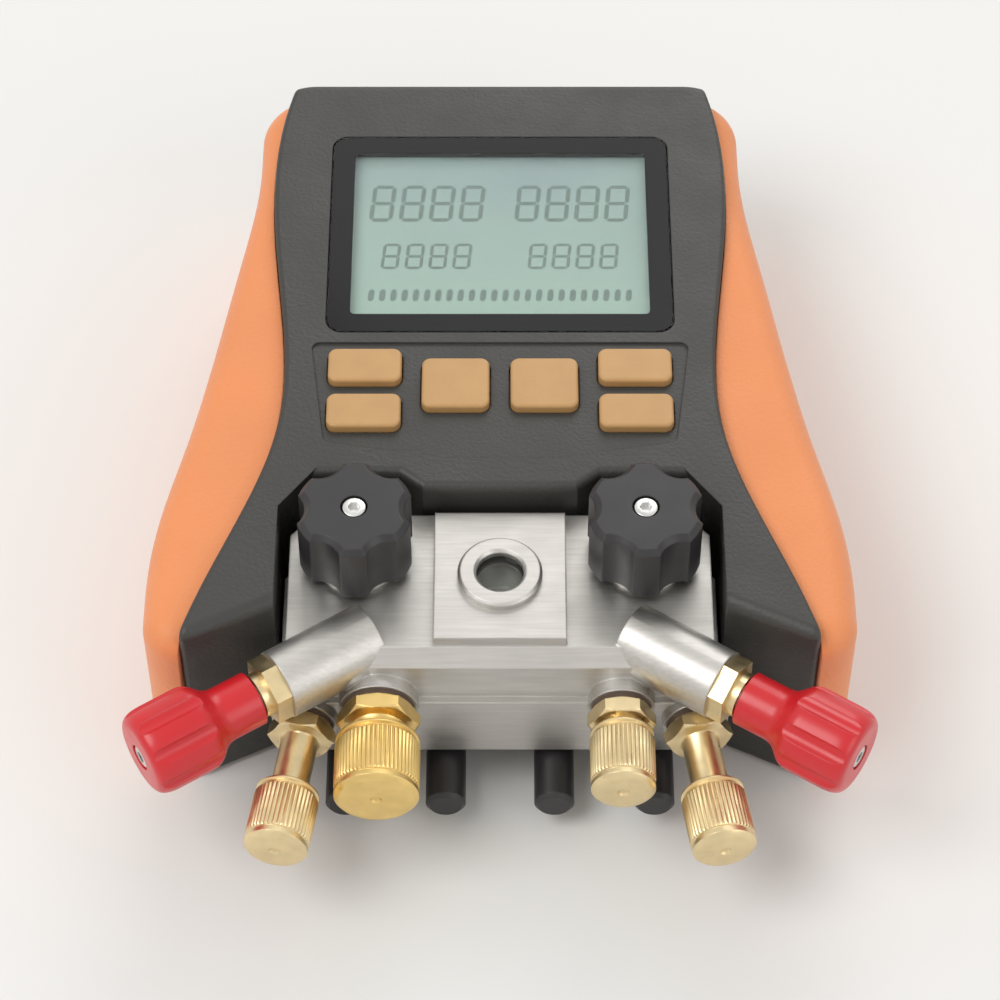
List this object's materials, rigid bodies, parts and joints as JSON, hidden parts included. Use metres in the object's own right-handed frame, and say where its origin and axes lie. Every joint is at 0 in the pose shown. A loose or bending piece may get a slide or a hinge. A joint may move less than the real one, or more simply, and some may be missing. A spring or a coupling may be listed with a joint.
{
  "type": "refrigerant manifold gauge",
  "caption": "Digital refrigerant manifold gauge: dark housing with orange side grips, display, tan keys and a metal valve block with handwheels, capped brass flare ports and a hanging hook.",
  "frame": {"origin": "centre of the footprint, on the plane of the flat back", "axes": "+X to the right of the display, +Y towards the top of the display, +Z out of the front face"},
  "size_m": [0.1738, 0.2214, 0.0703],
  "materials": {
    "core_plastic": "fine matt texture",
    "grip_rubber": "soft-touch, satin",
    "seal_rubber": "matt",
    "clear_window": "clear, polished",
    "lcd": "grey-green, satin",
    "backlight_plastic": "diffusing white",
    "board": "solder mask",
    "key_rubber": "satin tan",
    "mat_rubber": "matt",
    "steel": "satin zinc",
    "screw_steel": "dark zinc",
    "cell_jacket": "printed sleeve, plain",
    "contact_steel": "nickel plated",
    "block_metal": "satin nickel-toned",
    "brass": "turned, lightly tarnished",
    "vacuum_brass": "turned, golden",
    "sight_glass": "clear, polished",
    "knob_black": "satin",
    "knob_red": "satin gloss",
    "parking_plastic": "satin",
    "gasket": "fibre washer"
  },
  "bodies": {
    "housing": {"front_housing": "core_plastic", "rear_housing": "core_plastic", "housing_seal": "seal_rubber", "side_grip_left": "grip_rubber", "side_grip_right": "grip_rubber", "display_lens": "clear_window", "lcd_panel": "lcd", "backlight": "backlight_plastic", "circuit_board": "board", "board_screws": "screw_steel", "key_mat": "mat_rubber", "batteries": "cell_jacket", "battery_contacts": "contact_steel", "hook_pin": "steel", "valve_block": "block_metal", "block_plugs": "brass", "sight_glass": "sight_glass", "sight_glass_seal": "gasket", "sight_glass_ring": "block_metal", "valve_bonnets": "brass", "port_seals": "gasket", "pressure_sensors": "steel", "hose_parking": "parking_plastic", "probe_sockets": "parking_plastic", "housing_screws": "screw_steel", "block_screws": "screw_steel", "low_port": "brass", "high_port": "brass", "vacuum_port": "vacuum_brass", "refrigerant_port": "brass"},
    "key_left_upper": {"key_left_upper": "key_rubber"},
    "key_left_lower": {"key_left_lower": "key_rubber"},
    "key_centre_left": {"key_centre_left": "key_rubber"},
    "key_centre_right": {"key_centre_right": "key_rubber"},
    "key_right_upper": {"key_right_upper": "key_rubber"},
    "key_right_lower": {"key_right_lower": "key_rubber"},
    "hook": {"hook": "steel"},
    "battery_door": {"battery_door": "core_plastic"},
    "low_spindle": {"low_valve_stem": "steel"},
    "low_handwheel": {"low_valve_knob": "knob_red", "low_knob_screw": "screw_steel"},
    "high_spindle": {"high_valve_stem": "steel"},
    "high_handwheel": {"high_valve_knob": "knob_red", "high_knob_screw": "screw_steel"},
    "vacuum_spindle": {"vacuum_valve_stem": "steel"},
    "vacuum_handwheel": {"vacuum_valve_knob": "knob_black", "vacuum_knob_screw": "screw_steel"},
    "refrigerant_spindle": {"refrigerant_valve_stem": "steel"},
    "refrigerant_handwheel": {"refrigerant_valve_knob": "knob_black", "refrigerant_knob_screw": "screw_steel"},
    "low_cap": {"low_port_cap": "brass"},
    "vacuum_cap": {"vacuum_port_cap": "vacuum_brass"},
    "refrigerant_cap": {"refrigerant_port_cap": "brass"},
    "high_cap": {"high_port_cap": "brass"},
    "socket_cover_left": {"socket_cover_left": "seal_rubber"},
    "socket_cover_right": {"socket_cover_right": "seal_rubber"}
  },
  "joints": [
    {"name": "key_left_upper_press", "type": "slide", "parent": "housing", "child": "key_left_upper", "axis": [0, 0, -1], "range_m": [0, 0.0008], "stiffness_N_per_m": 1500},
    {"name": "key_left_lower_press", "type": "slide", "parent": "housing", "child": "key_left_lower", "axis": [0, 0, -1], "range_m": [0, 0.0008], "stiffness_N_per_m": 1500},
    {"name": "key_centre_left_press", "type": "slide", "parent": "housing", "child": "key_centre_left", "axis": [0, 0, -1], "range_m": [0, 0.0008], "stiffness_N_per_m": 1500},
    {"name": "key_centre_right_press", "type": "slide", "parent": "housing", "child": "key_centre_right", "axis": [0, 0, -1], "range_m": [0, 0.0008], "stiffness_N_per_m": 1500},
    {"name": "key_right_upper_press", "type": "slide", "parent": "housing", "child": "key_right_upper", "axis": [0, 0, -1], "range_m": [0, 0.0008], "stiffness_N_per_m": 1500},
    {"name": "key_right_lower_press", "type": "slide", "parent": "housing", "child": "key_right_lower", "axis": [0, 0, -1], "range_m": [0, 0.0008], "stiffness_N_per_m": 1500},
    {"name": "hook_swing", "type": "hinge", "parent": "housing", "child": "hook", "pos_m": [0, 0.0983, 0.005], "axis": [1, 0, 0], "range_deg": [0, 180]},
    {"name": "battery_door_swing", "type": "hinge", "parent": "housing", "child": "battery_door", "pos_m": [0, -0.00815, 0.0016], "axis": [-1, 0, 0], "range_deg": [0, 75]},
    {"name": "low_valve_lift", "type": "slide", "parent": "housing", "child": "low_spindle", "axis": [-0.8387, -0.5446, 0], "range_m": [0, 0.003]},
    {"name": "low_valve_turn", "type": "hinge", "parent": "low_spindle", "child": "low_handwheel", "pos_m": [-0.05152, -0.07433, 0.046], "axis": [-0.8387, -0.5446, 0], "range_deg": [0, 540]},
    {"name": "high_valve_lift", "type": "slide", "parent": "housing", "child": "high_spindle", "axis": [0.8387, -0.5446, 0], "range_m": [0, 0.003]},
    {"name": "high_valve_turn", "type": "hinge", "parent": "high_spindle", "child": "high_handwheel", "pos_m": [0.05152, -0.07433, 0.046], "axis": [0.8387, -0.5446, 0], "range_deg": [0, 540]},
    {"name": "vacuum_valve_lift", "type": "slide", "parent": "housing", "child": "vacuum_spindle", "axis": [0, 0, 1], "range_m": [0, 0.003]},
    {"name": "vacuum_valve_turn", "type": "hinge", "parent": "vacuum_spindle", "child": "vacuum_handwheel", "pos_m": [-0.034, -0.0407, 0.0525], "axis": [0, 0, 1], "range_deg": [0, 540]},
    {"name": "refrigerant_valve_lift", "type": "slide", "parent": "housing", "child": "refrigerant_spindle", "axis": [0, 0, 1], "range_m": [0, 0.003]},
    {"name": "refrigerant_valve_turn", "type": "hinge", "parent": "refrigerant_spindle", "child": "refrigerant_handwheel", "pos_m": [0.034, -0.0407, 0.0525], "axis": [0, 0, 1], "range_deg": [0, 540]},
    {"name": "low_cap_pull", "type": "slide", "parent": "housing", "child": "low_cap", "axis": [-0.1564, -0.9877, 0], "range_m": [0, 0.02]},
    {"name": "vacuum_cap_pull", "type": "slide", "parent": "housing", "child": "vacuum_cap", "axis": [0, -1, 0], "range_m": [0, 0.02]},
    {"name": "refrigerant_cap_pull", "type": "slide", "parent": "housing", "child": "refrigerant_cap", "axis": [0, -1, 0], "range_m": [0, 0.02]},
    {"name": "high_cap_pull", "type": "slide", "parent": "housing", "child": "high_cap", "axis": [0.1564, -0.9877, 0], "range_m": [0, 0.02]},
    {"name": "socket_cover_left_swing", "type": "hinge", "parent": "housing", "child": "socket_cover_left", "pos_m": [-0.026, 0.109, 0.0312], "axis": [-1, 0, 0], "range_deg": [0, 110]},
    {"name": "socket_cover_right_swing", "type": "hinge", "parent": "housing", "child": "socket_cover_right", "pos_m": [0.026, 0.109, 0.0312], "axis": [-1, 0, 0], "range_deg": [0, 110]}
  ],
  "couplings": [
    {"joint": "low_valve_turn", "follows": "low_valve_lift", "rad_per_m": 3141.6},
    {"joint": "high_valve_turn", "follows": "high_valve_lift", "rad_per_m": 3141.6},
    {"joint": "vacuum_valve_turn", "follows": "vacuum_valve_lift", "rad_per_m": 3141.6},
    {"joint": "refrigerant_valve_turn", "follows": "refrigerant_valve_lift", "rad_per_m": 3141.6}
  ]
}
